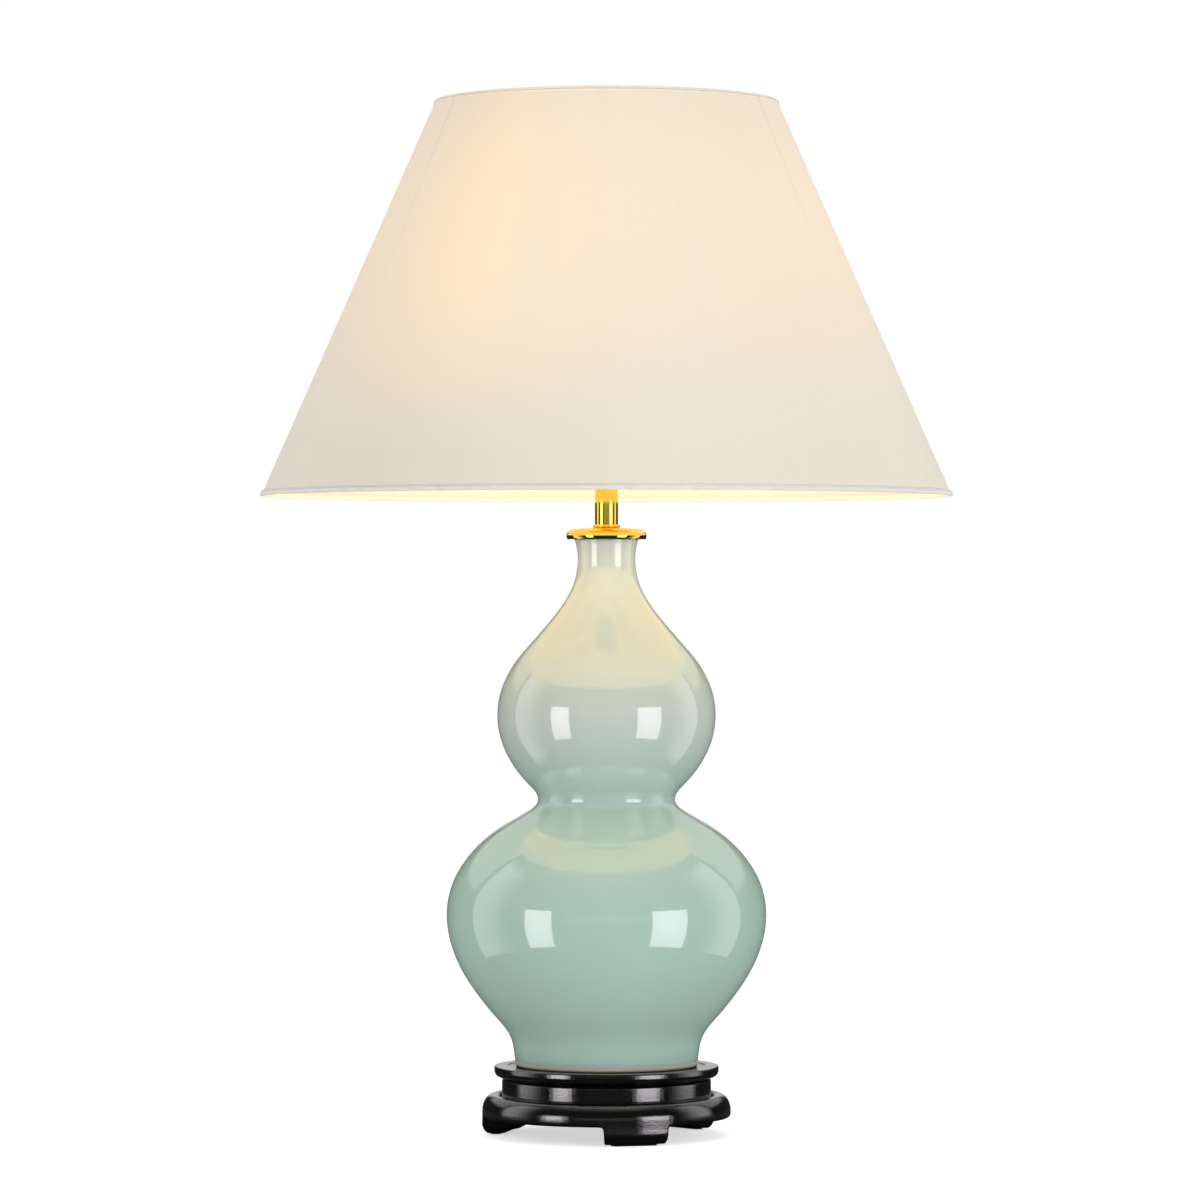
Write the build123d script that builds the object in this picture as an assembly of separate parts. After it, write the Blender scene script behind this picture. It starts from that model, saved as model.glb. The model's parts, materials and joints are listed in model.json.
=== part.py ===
from build123d import *
from math import cos, hypot, radians, sin, tan
import os

# A table lamp: a glazed double gourd vase on a black lacquered stand with three feet,
# a brass cap and stem, a switched lampholder with its bulb, and a tapered fabric shade.
# Millimetres. +Z is up, +Y is the back. The origin is on the floor, on the lamp's axis.

# ---- Stand
pad_thickness = 1.0
pad_width = 32.0
pad_depth = 7.0
pad_corner = 2.5
foot_count = 3
stand_turn = 14.0  # degrees that the front foot is turned towards +X
foot_height = 12.1
foot_top_width = 48.0
foot_sole_width = 46.4
foot_corner = 2.8
foot_flare = 2.0
foot_toe_set_back = 4.0
foot_sole_depth = 11.1
foot_heel_run = 25.4
apron_radius = 86.2
apron_hole_radius = 46.0
apron_height = 12.3
apron_edge_round = 2.0
apron_side_height = 5.0
apron_crest_inset = 8.0
apron_crest_rise = 3.4
apron_channel_width = 0.8
collar_radius = 72.6
collar_height = 15.2
groove_depth = 1.4
groove_height = 1.0
tray_overhang = 5.3
tray_thickness = 7.9
tray_lip_width = 8.9
tray_well_depth = 0.8
tray_edge_height = 3.4
tray_edge_round = 0.6
seat_ring_thickness = 1.0
seat_ring_width = 7.0

# ---- Vase: each section has a rise from the one below it, a radius and, where the outline
# leans, an outward lean in degrees
vase_wall = 5.0
vase_floor_thickness = 7.0
vase_foot_rise, vase_foot_radius, vase_foot_lean = 6.0, 63.8, 7
vase_foot_width = 9.0
vase_foot_recess = 6.0
vase_foot_round = 1.2
heel_rise, heel_radius, heel_lean = 16.4, 68.1, 33
flank_rise, flank_radius, flank_lean = 15.6, 81.1, 40
cheek_rise, cheek_radius, cheek_lean = 22.0, 97.2, 32
belly_rise, belly_radius = 44.6, 111.0
slope_rise, slope_radius, slope_lean = 55.4, 80.8, -52
hollow_rise, hollow_radius, hollow_lean = 16.0, 55.0, -60
waist_rise, waist_radius = 8.0, 47.2
shoulder_rise, shoulder_radius, shoulder_lean = 10.5, 54.3, 45
crown_rise, crown_radius = 48.1, 75.9
brow_rise, brow_radius, brow_lean = 45.1, 56.8, -42
throat_rise, throat_radius, throat_lean = 22.2, 37.5, -40
taper_rise, taper_radius, taper_lean = 22.2, 23.4, -22
neck_rise, neck_radius = 19.4, 19.9
mouth_rise, mouth_radius, mouth_lean = 13.0, 22.2, 20

# ---- Central rod and its fastenings
rod_radius = 5.0
rod_bore_radius = 3.75
rod_clearance = 0.3
rod_tail = 5.0
rod_end_stand_off = 5.0
washer_radius = 20.0
washer_thickness = 2.0
spring_washer_radius = 8.8
spring_washer_thickness = 1.4
spring_washer_slit = 1.5
nut_across_flats = 17.0
nut_height = 6.0
nut_chamfer = 0.8
bushing_wall = 2.3
bushing_nose_height = 6.0
bushing_chamfer = 1.0
bushing_grip = 5.0
cable_radius = 3.3
plug_height = 14.0
plug_clearance = 0.15

# ---- Brass cap and stem
cap_radius = 27.8
cap_bead_height = 3.8
cap_bead_bulge = 0.7
cap_shoulder_width = 4.6
cap_shoulder_rise = 3.4
cap_dome_rise = 0.8
cap_recess_depth = 5.0
cap_hub_radius = 9.0
collet_radius = 9.4
collet_bulge = 0.6
collet_height = 2.2
stem_radius = 8.0
stem_wall = 1.2
stem_length = 84.8
jam_nut_height = 3.0

# ---- Lampholder
holder_radius = 20.2
holder_wall = 1.4
holder_boss_radius = 8.6
holder_boss_height = 5.0
holder_boss_side = 3.0
holder_dome_height = 14.0
holder_cap_height = 34.0
holder_ledge_depth = 4.0
holder_ledge_wall = 3.4
skirt_radius = 19.8
skirt_wall = 2.6
skirt_height = 41.0
skirt_foot_height = 2.0
skirt_chamfer = 1.0
core_flange_radius = 18.6
core_radius = 16.2
core_height = 11.0
socket_clearance = 0.08
socket_wall = 0.6
socket_height = 31.0
contact_width = 6.0
contact_reach = 4.8
contact_thickness = 0.5
contact_height = 5.0
contact_lift = 2.2
contact_gap = 0.3
terminal_offset = 11.5
terminal_radius = 3.0
terminal_length = 5.0
terminal_slot_width = 0.8
terminal_slot_depth = 0.8
switch_block_width = 18.0
switch_block_depth = 14.0
switch_block_height = 17.0
switch_block_round = 1.5
switch_bar_radius = 2.0
switch_bar_clearance = 0.08
switch_bar_length = 54.0
switch_bar_chamfer = 0.8
switch_bar_offset = -3.0
switch_bar_height = 19.0

# ---- Shade rings on the lampholder
ring_seat_height = 45.0
ring_clearance = 0.1
lower_ring_radius = 25.0
lower_ring_flange = 1.6
lower_ring_height = 6.0
lower_ring_boss = 22.8
upper_ring_radius = 24.4
upper_ring_height = 4.8
ring_notch_count = 10
ring_notch_depth = 0.8
ring_notch_radius = 1.6
ring_notch_sides = 6

# ---- Shade
shade_drop = 113.7
shade_height = 274.7
shade_bottom_radius = 240.0
shade_top_radius = 120.0
shade_fabric_thickness = 0.6
shade_liner_thickness = 0.4
hem_thickness = 0.5
bottom_wire_radius = 1.5
top_wire_radius = 1.1
bottom_hem_tail = 8.0
top_hem_tail = 6.0
hoop_side_count = 6
arm_count = 3
arm_turn = 60.0  # degrees from the front of the lamp to the first arm, towards +X
arm_radius = 1.5
arm_slot_clearance = 0.1
carrier_hole_radius = 20.6
carrier_radius = 26.5
carrier_thickness = 1.2

# ---- Bulb
bulb_thread_radius = 13.2
bulb_thread_height = 24.0
bulb_shell_wall = 0.5
bulb_shell_round = 1.5
bulb_cement_gap = 0.05
bulb_tip_radius = 4.6
bulb_tip_height = 1.2
bulb_tip_flare = 0.6
bulb_insulator_margin = 0.2
bulb_insulator_height = 3.2
bulb_insulator_radius = 9.6
bulb_radius = 30.0
bulb_length = 105.4
bulb_neck_radius = 13.9
bulb_cheek = 25.0  # degrees below the bulb's middle where its round crown ends
glass_wall = 0.8
filament_lead_radius = 0.4
filament_spread = 14.0
filament_level = 70.0
filament_radius = 0.8
filament_rise = 5.0
filament_sides = 6
stem_glass_radius = 5.0
stem_glass_top_radius = 2.8
stem_glass_height = 42.0
stem_glass_grip = 3.0

# ---- Levels, each one resting on the last
foot_bottom = pad_thickness
apron_bottom = foot_bottom + foot_height
collar_bottom = apron_bottom + apron_height
tray_bottom = collar_bottom + collar_height
tray_top = tray_bottom + tray_thickness
well_floor = tray_top - tray_well_depth
vase_bottom = well_floor + seat_ring_thickness
lower_gourd_height = (
    vase_foot_rise + heel_rise + flank_rise + cheek_rise + belly_rise + slope_rise + hollow_rise + waist_rise
)
upper_gourd_height = shoulder_rise + crown_rise + brow_rise + throat_rise + taper_rise
vase_height = lower_gourd_height + upper_gourd_height + neck_rise + mouth_rise
mouth = vase_bottom + vase_height
cap_top = mouth + cap_bead_height + cap_shoulder_rise + cap_dome_rise
stem_bottom = cap_top + collet_height
stem_top = stem_bottom + stem_length
holder_bottom = stem_top + jam_nut_height
skirt_bottom = holder_bottom + holder_cap_height
skirt_top = skirt_bottom + skirt_height
core_bottom = skirt_bottom - holder_ledge_depth
core_top = core_bottom + core_height
carrier_bottom = holder_bottom + ring_seat_height
carrier_top = carrier_bottom + carrier_thickness
shade_bottom = carrier_bottom - shade_drop
shade_top = shade_bottom + shade_height
washer_bottom = tray_bottom - washer_thickness
spring_washer_bottom = washer_bottom - spring_washer_thickness
base_nut_bottom = spring_washer_bottom - nut_height
rod_bottom = base_nut_bottom - rod_tail
rod_top = holder_bottom + holder_boss_height + rod_end_stand_off
rod_hole_radius = rod_radius + rod_clearance
contact_top = core_top + contact_height
bulb_bottom = contact_top + contact_gap
bulb_top = bulb_bottom + bulb_length
bulb_centre = bulb_top - bulb_radius
bulb_thread_bottom = bulb_bottom + bulb_tip_height + bulb_insulator_height
glass_bottom = bulb_thread_bottom + bulb_thread_height - bulb_shell_round

bottom_hem_radius = bottom_wire_radius + hem_thickness
top_hem_radius = top_wire_radius + hem_thickness
bottom_wire = Vector(shade_bottom_radius - bottom_hem_radius, shade_bottom + bottom_hem_radius)
top_wire = Vector(shade_top_radius - top_hem_radius, shade_top - top_hem_radius)
shade_slant = (top_wire - bottom_wire).normalized()
shade_normal = Vector(shade_slant.Y, -shade_slant.X)


# ---- Shared forms
def turned(outline):
    """A closed outline of radius and height, turned about the lamp's axis."""
    return revolve(Plane.XZ * make_face(outline), Axis.Z)


def bend(start, start_direction, end, end_direction):
    """Two arcs that leave start and reach end in the given directions, and meet in line."""
    start, end = Vector(start), Vector(end)
    leave, arrive = Vector(start_direction).normalized(), Vector(end_direction).normalized()
    chord = end - start
    along = chord.dot(leave + arrive)
    turn = 2 * (1 - leave.dot(arrive))
    reach = chord.dot(chord) / (along + hypot(along, (turn * chord.dot(chord)) ** 0.5))
    meeting = (start + end + (leave - arrive) * reach) / 2
    return TangentArc(start, meeting, tangent=leave) + TangentArc(end, meeting, tangent=-arrive)


def ring(outer_radius, inner_radius, bottom, top):
    """A plain ring on the lamp's axis."""
    section = Circle(outer_radius) - Circle(inner_radius)
    return Pos(0, 0, bottom) * extrude(section, top - bottom)


def rod(start, end, section):
    """A straight rod of that section between two points."""
    along = end - start
    return extrude(Plane(start, z_dir=along) * section, along.length)


def around(piece, count, first_angle=0.0):
    """Copies of a piece at equal steps about the lamp's axis."""
    return [Rot(0, 0, first_angle + 360 * k / count) * piece for k in range(count)]


# ---- Stand
def foot_pads():
    """A thin rubber pad under each foot."""
    middle = apron_radius - foot_toe_set_back - foot_sole_depth / 2
    outline = Rectangle(pad_width, pad_depth)
    outline = chamfer(outline.vertices(), pad_corner)
    return around(extrude(Pos(0, -middle) * outline, pad_thickness), foot_count, stand_turn)


def foot_section(distance):
    """The foot's outline at that distance in front of the lamp's axis, which its sides run towards."""
    share = distance / apron_radius
    half_top, half_sole = share * foot_top_width / 2, share * foot_sole_width / 2
    half_root = half_top + 2 * foot_flare
    root = apron_bottom + apron_side_height
    face = make_face(
        Polyline(
            (-half_root, root),
            (-half_root, apron_bottom),
            (-half_top, apron_bottom),
            (-half_sole, foot_bottom),
            (half_sole, foot_bottom),
            (half_top, apron_bottom),
            (half_root, apron_bottom),
            (half_root, root),
            close=True,
        )
    )
    corners = face.vertices().group_by(Axis.Y)
    sole_corners, inner_corners = corners[0], corners[1].sort_by(lambda corner: abs(corner.X))[:2]
    face = fillet(sole_corners, foot_corner)
    return Plane.XZ.offset(distance) * fillet(inner_corners, foot_flare)


def foot():
    """The front foot: a rounded toe, a hollowed heel, and sides that flare into the apron."""
    root = apron_bottom + apron_side_height
    toe = apron_radius - foot_toe_set_back
    heel = toe - foot_sole_depth
    front = bend((toe, foot_bottom), (1, 0.5), (apron_radius, root), (0, 1))
    back = Polyline(
        (apron_radius, root),
        (heel - foot_heel_run, root),
        (heel - foot_heel_run, apron_bottom),
        (heel, foot_bottom),
        (toe, foot_bottom),
    )
    nearest, furthest = apron_radius + foot_flare, heel - foot_heel_run - foot_flare
    return turned(front + back) & loft([foot_section(nearest), foot_section(furthest)], ruled=True)


def stand_apron():
    """The bulging apron ring, carved in one with its three feet."""
    side_top = apron_bottom + apron_side_height
    crest = apron_radius - apron_crest_inset
    crest_top = collar_bottom + apron_crest_rise
    channel = collar_radius + apron_channel_width
    edge = apron_edge_round
    outline = (
        Line((apron_hole_radius, apron_bottom), (apron_radius - edge, apron_bottom))
        + CenterArc((apron_radius - edge, apron_bottom + edge), edge, 270, 90)
        + Line((apron_radius, apron_bottom + edge), (apron_radius, side_top))
        + bend((apron_radius, side_top), (0, 1), (crest, crest_top), (-1, 0))
        + bend((crest, crest_top), (-1, 0), (channel, collar_bottom), (-0.3, -1))
        + Line((channel, collar_bottom), (apron_hole_radius, collar_bottom))
        + Line((apron_hole_radius, collar_bottom), (apron_hole_radius, apron_bottom))
    )
    return turned(outline) + around(foot(), foot_count, stand_turn)


def stand_collar():
    """The straight waist between apron and tray, with a shadow groove at its top."""
    top = tray_bottom
    outline = Polyline(
        (apron_hole_radius, collar_bottom),
        (collar_radius, collar_bottom),
        (collar_radius, top - 2 * groove_height),
        (collar_radius - groove_depth, top - groove_height),
        (collar_radius - groove_depth, top),
        (apron_hole_radius, top),
        close=True,
    )
    return turned(outline)


def stand_tray():
    """The round tray that the vase stands in, with a shallow well and an undercut rim."""
    radius = collar_radius + tray_overhang
    well = radius - tray_lip_width
    side = tray_top - tray_edge_height
    edge = tray_edge_round
    outline = (
        bend((collar_radius, tray_bottom), (1, 0), (radius, side), (0, 1))
        + Line((radius, side), (radius, tray_top - edge))
        + CenterArc((radius - edge, tray_top - edge), edge, 0, 90)
        + Polyline(
            (radius - edge, tray_top),
            (well, tray_top),
            (well, well_floor),
            (rod_hole_radius, well_floor),
            (rod_hole_radius, tray_bottom),
            (collar_radius, tray_bottom),
        )
    )
    return turned(outline)


def vase_seat_ring():
    """The thin ring that the vase's unglazed foot beds on."""
    outer = vase_foot_radius - vase_foot_round
    return ring(outer, outer - seat_ring_width, well_floor, vase_bottom)


# ---- Vase
def vase_sections():
    """Rise, radius and outward lean of each section of the outline, from foot to mouth."""
    return [
        (vase_foot_rise, vase_foot_radius, vase_foot_lean),
        (heel_rise, heel_radius, heel_lean),
        (flank_rise, flank_radius, flank_lean),
        (cheek_rise, cheek_radius, cheek_lean),
        (belly_rise, belly_radius, 0),
        (slope_rise, slope_radius, slope_lean),
        (hollow_rise, hollow_radius, hollow_lean),
        (waist_rise, waist_radius, 0),
        (shoulder_rise, shoulder_radius, shoulder_lean),
        (crown_rise, crown_radius, 0),
        (brow_rise, brow_radius, brow_lean),
        (throat_rise, throat_radius, throat_lean),
        (taper_rise, taper_radius, taper_lean),
        (neck_rise, neck_radius, 0),
        (mouth_rise, mouth_radius, mouth_lean),
    ]


def vase_curves():
    """The vase's outer curve in tangent arcs, and the inner line a wall's thickness inside it."""
    stations = []
    height = 0
    for rise, radius, lean in vase_sections():
        height += rise
        stations.append((Vector(radius, height), Vector(sin(radians(lean)), cos(radians(lean)))))
    outer = Curve()
    for (start, leave), (end, arrive) in zip(stations, stations[1:]):
        outer += bend(start, leave, end, arrive)
    inner = [station + Vector(-lean.Y, lean.X) * vase_wall for station, lean in stations[1:-1]]
    return outer, Polyline(*inner, Vector(mouth_radius - vase_wall, vase_height))


def vase():
    """The hollow double gourd: a foot ring, a belly, a tight waist, a crown and a slim neck."""
    outer, inner = vase_curves()
    floor_top = vase_foot_recess + vase_floor_thickness
    inner_start = inner @ 0
    foot_inside = vase_foot_radius - vase_foot_width
    edge = vase_foot_round
    sole_radius = vase_foot_radius - (vase_foot_rise - edge) * tan(radians(vase_foot_lean))
    outline = (
        Polyline(
            (inner_start.X, inner_start.Y),
            (inner_start.X, floor_top),
            (rod_hole_radius, floor_top),
            (rod_hole_radius, vase_foot_recess),
            (foot_inside, vase_foot_recess),
            (foot_inside, edge),
            (foot_inside + edge, 0),
            (sole_radius - edge, 0),
            (sole_radius, edge),
            (vase_foot_radius, vase_foot_rise),
        )
        + outer
        + Line((mouth_radius, vase_height), (mouth_radius - vase_wall, vase_height))
        + inner
    )
    return Pos(0, 0, vase_bottom) * turned(outline)


def neck_plug():
    """The turned plug that centres the rod in the vase's neck."""
    return ring(neck_radius - vase_wall - plug_clearance, rod_hole_radius, mouth - plug_height, mouth)


# ---- Rod, fastenings and cable outlet
def threaded_rod():
    """The hollow rod that ties the stand, vase, cap, stem and lampholder together."""
    return ring(rod_radius, rod_bore_radius, rod_bottom, rod_top)


def base_washer():
    """The broad steel washer under the tray."""
    return ring(washer_radius, rod_hole_radius, washer_bottom, tray_bottom)


def lock_washer():
    """The split spring washer between nut and broad washer."""
    whole = ring(spring_washer_radius, rod_hole_radius, spring_washer_bottom, washer_bottom)
    slit = Box(spring_washer_slit, spring_washer_radius, 2 * spring_washer_thickness)
    return whole - Pos(0, -spring_washer_radius, (spring_washer_bottom + washer_bottom) / 2) * slit


def hex_nut(bottom, height):
    """A hexagon nut on the rod, chamfered by a cone at both faces."""
    across_corners = nut_across_flats / cos(radians(30))
    body = extrude(RegularPolygon(nut_across_flats / 2, 6, major_radius=False), height)
    trim = extrude(Circle(across_corners / 2), height)
    trim = chamfer(trim.edges().filter_by(GeomType.CIRCLE), nut_chamfer)
    return Pos(0, 0, bottom) * ((body & trim) - Cylinder(rod_radius, 3 * height))


def base_nut():
    """The nut at the rod's lower end."""
    return hex_nut(base_nut_bottom, nut_height)


def cable_bushing():
    """The smooth plastic sleeve on the rod's lower end, where a cable would leave."""
    nose = rod_bottom - bushing_nose_height
    outer = rod_radius + bushing_wall
    outline = Polyline(
        (cable_radius, nose),
        (outer - bushing_chamfer, nose),
        (outer, nose + bushing_chamfer),
        (outer, rod_bottom + bushing_grip),
        (rod_radius, rod_bottom + bushing_grip),
        (rod_radius, rod_bottom),
        (cable_radius, rod_bottom),
        close=True,
    )
    return turned(outline)


# ---- Brass cap and stem
def vase_cap():
    """The brass cap over the mouth: a beaded edge, a rounded shoulder and a low dome."""
    bead_top = mouth + cap_bead_height
    shoulder = cap_radius - cap_shoulder_width
    shoulder_top = bead_top + cap_shoulder_rise
    recess_top = mouth + cap_recess_depth
    recess_radius = mouth_radius - vase_wall
    outline = (
        ThreePointArc(
            (cap_radius - cap_bead_bulge, mouth),
            (cap_radius, mouth + cap_bead_height / 2),
            (cap_radius - cap_bead_bulge / 2, bead_top),
        )
        + bend((cap_radius - cap_bead_bulge / 2, bead_top), (0, 1), (shoulder, shoulder_top), (-1, 0))
        + Polyline(
            (shoulder, shoulder_top),
            (collet_radius, cap_top),
            (rod_hole_radius, cap_top),
            (rod_hole_radius, mouth),
            (cap_hub_radius, mouth),
            (cap_hub_radius, recess_top),
            (recess_radius, recess_top),
            (recess_radius, mouth),
            (cap_radius - cap_bead_bulge, mouth),
        )
    )
    return turned(outline)


def stem_collet():
    """The small half-round ring at the foot of the stem."""
    flat = collet_radius - collet_bulge
    side = ThreePointArc((flat, cap_top), (collet_radius, cap_top + collet_height / 2), (flat, stem_bottom))
    bore = Polyline(
        (flat, stem_bottom),
        (rod_hole_radius, stem_bottom),
        (rod_hole_radius, cap_top),
        (flat, cap_top),
    )
    return turned(side + bore)


def stem_tube():
    """The polished brass tube between cap and lampholder."""
    return ring(stem_radius, stem_radius - stem_wall, stem_bottom, stem_top)


def jam_nut():
    """The thin nut that locks the lampholder on the rod and bears on the stem."""
    return hex_nut(stem_top, jam_nut_height)


# ---- Lampholder
def holder_cap():
    """The lampholder's domed lower shell, with cross holes for the switch bar."""
    boss_top = holder_bottom + holder_boss_height
    boss_side = holder_bottom + holder_boss_side
    dome_top = holder_bottom + holder_dome_height
    outline = (
        bend((holder_boss_radius, boss_side), (1, 0), (holder_radius, dome_top), (0, 1))
        + Polyline(
            (holder_radius, dome_top),
            (holder_radius, skirt_bottom),
            (holder_radius - holder_wall, skirt_bottom),
            (holder_radius - holder_wall, core_bottom),
            (holder_radius - holder_ledge_wall, core_bottom),
            (holder_radius - holder_ledge_wall, dome_top + holder_wall),
            (holder_boss_radius, boss_top + holder_wall),
            (rod_radius, boss_top + holder_wall),
            (rod_radius, holder_bottom),
            (holder_boss_radius, holder_bottom),
            (holder_boss_radius, boss_side),
        )
    )
    return turned(outline) - switch_bar_hole()


def holder_skirt():
    """The lampholder's upper sleeve, threaded outside for the shade rings."""
    inner = skirt_radius - skirt_wall
    outline = Polyline(
        (inner, skirt_bottom),
        (holder_radius, skirt_bottom),
        (holder_radius, skirt_bottom + skirt_foot_height),
        (skirt_radius, skirt_bottom + skirt_foot_height),
        (skirt_radius, skirt_top - skirt_chamfer),
        (skirt_radius - skirt_chamfer, skirt_top),
        (inner, skirt_top),
        close=True,
    )
    return turned(outline)


def holder_core():
    """The insulating core: a flange held between shell and sleeve, and a raised seat."""
    outline = Polyline(
        (0, core_bottom),
        (core_flange_radius, core_bottom),
        (core_flange_radius, skirt_bottom),
        (core_radius, skirt_bottom),
        (core_radius, core_top),
        (0, core_top),
        close=True,
    )
    return turned(outline)


def screw_socket():
    """The brass cup that the bulb's base screws into."""
    inner = bulb_thread_radius + socket_clearance
    outline = Polyline(
        (contact_width, core_top),
        (inner + socket_wall, core_top),
        (inner + socket_wall, core_top + socket_height),
        (inner, core_top + socket_height),
        (inner, core_top + socket_wall),
        (contact_width, core_top + socket_wall),
        close=True,
    )
    return turned(outline)


def centre_contact():
    """The sprung strip that meets the bulb's tip."""
    low = core_top + contact_thickness / 2
    high = contact_top - contact_thickness / 2
    strip = Polyline(
        (-contact_reach, low),
        (contact_reach / 2, low),
        (contact_reach, core_top + contact_lift),
        (-contact_reach / 2, high),
    )
    return extrude(Plane.XZ * trace(strip, contact_thickness), contact_width / 4, both=True)


def terminal_screws():
    """Two binding screws under the core, one for each lead."""
    head = Pos(0, -terminal_offset, core_bottom - terminal_length) * Cylinder(
        terminal_radius, terminal_length, align=(Align.CENTER, Align.CENTER, Align.MIN)
    )
    slot = Box(2 * terminal_radius, terminal_slot_width, 2 * terminal_slot_depth)
    return around(head - Pos(0, -terminal_offset, core_bottom - terminal_length) * slot, 2)


def switch_bar_hole():
    """The running hole for the switch bar, through shell and switch block."""
    radius = switch_bar_radius + switch_bar_clearance
    return Pos(0, 0, holder_bottom + switch_bar_height) * Rot(0, 90, 0) * Cylinder(radius, 3 * holder_radius)


def switch_block():
    """The moulded switch body that hangs under the core."""
    block = Box(switch_block_width, switch_block_depth, switch_block_height,
                align=(Align.CENTER, Align.CENTER, Align.MAX))
    block = fillet(block.edges().filter_by(Axis.Z), switch_block_round)
    return Pos(0, 0, core_bottom) * block - switch_bar_hole()


def switch_bar():
    """The bar that is pushed through the lampholder from either side."""
    bar = Cylinder(switch_bar_radius, switch_bar_length)
    bar = chamfer(bar.edges().filter_by(GeomType.CIRCLE), switch_bar_chamfer)
    return Pos(switch_bar_offset, 0, holder_bottom + switch_bar_height) * Rot(0, 90, 0) * bar


# ---- Shade rings
def notched(blank, radius, bottom, top):
    """Finger notches cut into the rim of a ring."""
    middle = radius + ring_notch_radius - ring_notch_depth
    section = Pos(0, -middle) * RegularPolygon(ring_notch_radius, ring_notch_sides, rotation=30)
    return blank - around(Pos(0, 0, bottom) * extrude(section, top - bottom), ring_notch_count)


def shade_ring_lower():
    """The lower ring on the sleeve: a flange that carries the shade, on a deeper boss."""
    bore = skirt_radius + ring_clearance
    bottom = carrier_bottom - lower_ring_height
    flange = carrier_bottom - lower_ring_flange
    outline = Polyline(
        (bore, bottom),
        (lower_ring_boss, bottom),
        (lower_ring_boss, flange),
        (lower_ring_radius, flange),
        (lower_ring_radius, carrier_bottom),
        (bore, carrier_bottom),
        close=True,
    )
    return notched(turned(outline), lower_ring_radius, flange, carrier_bottom)


def shade_ring_upper():
    """The upper ring, screwed down to clamp the shade's carrier."""
    top = carrier_top + upper_ring_height
    blank = ring(upper_ring_radius, skirt_radius + ring_clearance, carrier_top, top)
    return notched(blank, upper_ring_radius, carrier_top, top)


# ---- Shade
def shade_layer(outer_offset, inner_offset, start=0.0, end=None):
    """A conical layer between two offsets from the line of the wires, from start to end along it."""
    length = (top_wire - bottom_wire).length
    first = bottom_wire + shade_slant * start
    last = bottom_wire + shade_slant * (length if end is None else end)
    corners = [
        first + shade_normal * inner_offset,
        first + shade_normal * outer_offset,
        last + shade_normal * outer_offset,
        last + shade_normal * inner_offset,
    ]
    return turned(Polyline(*[(c.X, c.Y) for c in corners], close=True))


def hoop(centre, radius):
    """A wire hoop, or the bead that wraps it, its round section drawn in flats."""
    return turned((Pos(centre.X, centre.Y) * RegularPolygon(radius, hoop_side_count)).edges())


def arm_rod(radius):
    """The line of the first arm, from inside the carrier's edge to the top wire, as a plain rod."""
    start = Vector(carrier_radius - arm_radius, 0, (carrier_bottom + carrier_top) / 2)
    end = Vector(top_wire.X, 0, top_wire.Y)
    return rod(start, end, Circle(radius))


def arms():
    """Straight rods from the carrier's edge up to the top wire, trimmed by what they meet."""
    arm = arm_rod(arm_radius)
    arm -= Pos(0, 0, carrier_bottom) * Cylinder(carrier_radius, 6 * arm_radius)
    arm -= hoop(top_wire, top_wire_radius)
    arm -= shade_layer(2 * arm_radius, -(shade_fabric_thickness + shade_liner_thickness) / 2)
    arm = arm.solids().sort_by(SortBy.VOLUME)[-1]
    return around(arm, arm_count, arm_turn - 90)


def shade_fabric():
    """The fabric face of the shade, between the two beads."""
    outer = (shade_fabric_thickness + shade_liner_thickness) / 2
    layer = shade_layer(outer, outer - shade_fabric_thickness)
    return layer - hoop(bottom_wire, bottom_hem_radius) - hoop(top_wire, top_hem_radius)


def shade_liner():
    """The stiff translucent liner that the fabric is laid on."""
    inner = -(shade_fabric_thickness + shade_liner_thickness) / 2
    layer = shade_layer(inner + shade_liner_thickness, inner)
    return layer - hoop(bottom_wire, bottom_hem_radius) - hoop(top_wire, top_hem_radius)


def hem_tail(start, end):
    """The turned-in edge of the fabric, behind the liner."""
    inner = -(shade_fabric_thickness + shade_liner_thickness) / 2
    return shade_layer(inner, inner - hem_thickness, start, end)


def bottom_hem():
    """The fabric rolled round the bottom wire and turned up inside."""
    bead = hoop(bottom_wire, bottom_hem_radius) + hem_tail(0, bottom_hem_tail)
    return bead - hoop(bottom_wire, bottom_wire_radius)


def top_hem():
    """The fabric rolled round the top wire and turned down inside, notched for the arms."""
    length = (top_wire - bottom_wire).length
    bead = hoop(top_wire, top_hem_radius) + hem_tail(length - top_hem_tail, length)
    slots = around(arm_rod(arm_radius + arm_slot_clearance), arm_count, arm_turn - 90)
    return bead - hoop(top_wire, top_wire_radius) - slots


def bottom_wire_hoop():
    """The steel hoop in the bottom hem."""
    return hoop(bottom_wire, bottom_wire_radius)


def top_wire_hoop():
    """The steel hoop in the top hem, welded to the arms."""
    return hoop(top_wire, top_wire_radius)


def carrier_ring():
    """The flat ring, welded to the arms, that sits on the lampholder's lower ring."""
    return ring(carrier_radius, carrier_hole_radius, carrier_bottom, carrier_top)


# ---- Bulb
def bulb_outline(inset):
    """The bulb's outline from neck to crown, moved in by a wall."""
    radius = bulb_radius - inset
    neck = bulb_neck_radius - inset
    side = (radius * cos(radians(bulb_cheek)), bulb_centre - radius * sin(radians(bulb_cheek)))
    cheek_direction = (sin(radians(bulb_cheek)), cos(radians(bulb_cheek)))
    flank = bend((neck, glass_bottom), (0, 1), side, cheek_direction)
    return flank + CenterArc((0, bulb_centre), radius, -bulb_cheek, 90 + bulb_cheek)


def bulb_glass():
    """The blown envelope."""
    neck = bulb_neck_radius
    crown = bulb_centre + bulb_radius
    outline = (
        bulb_outline(0)
        + bulb_outline(glass_wall)
        + Line((neck, glass_bottom), (neck - glass_wall, glass_bottom))
        + Line((0, crown - glass_wall), (0, crown))
    )
    return turned(outline)


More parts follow.
